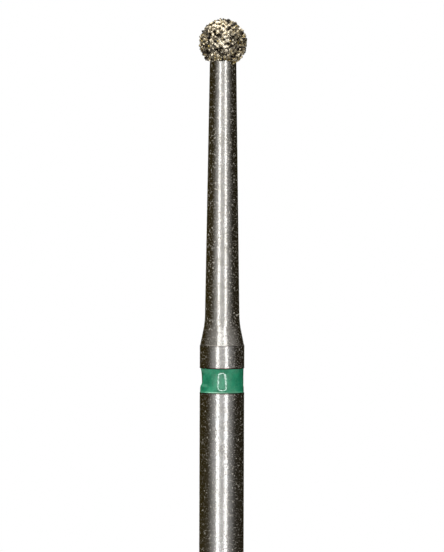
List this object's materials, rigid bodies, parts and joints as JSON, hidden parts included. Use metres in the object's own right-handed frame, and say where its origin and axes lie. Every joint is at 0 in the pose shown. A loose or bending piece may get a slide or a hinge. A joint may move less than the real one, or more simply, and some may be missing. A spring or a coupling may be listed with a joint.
{
  "type": "dental bur",
  "caption": "Slender round-headed diamond bur: a straight ground shank, a green enamel band in a groove, a tapered neck and a ball coated with coarse diamond grit.",
  "frame": {"origin": "centre of the shank's flat end", "axes": "+Z along the bur's axis of rotation, from the shank's end to the ball head"},
  "size_m": [0.0018, 0.0018, 0.023],
  "materials": {
    "ground_steel": "ground stainless steel, finely speckled, with a matt blasted neck",
    "green_enamel": "glossy baked enamel",
    "nickel_plating": "warm grey electroplated nickel",
    "diamond": "yellowish synthetic diamond crystals"
  },
  "bodies": {
    "root": {"steel_blank": "ground_steel", "colour_band": "green_enamel", "nickel_bond": "nickel_plating", "diamond_grit": "diamond"}
  },
  "joints": []
}
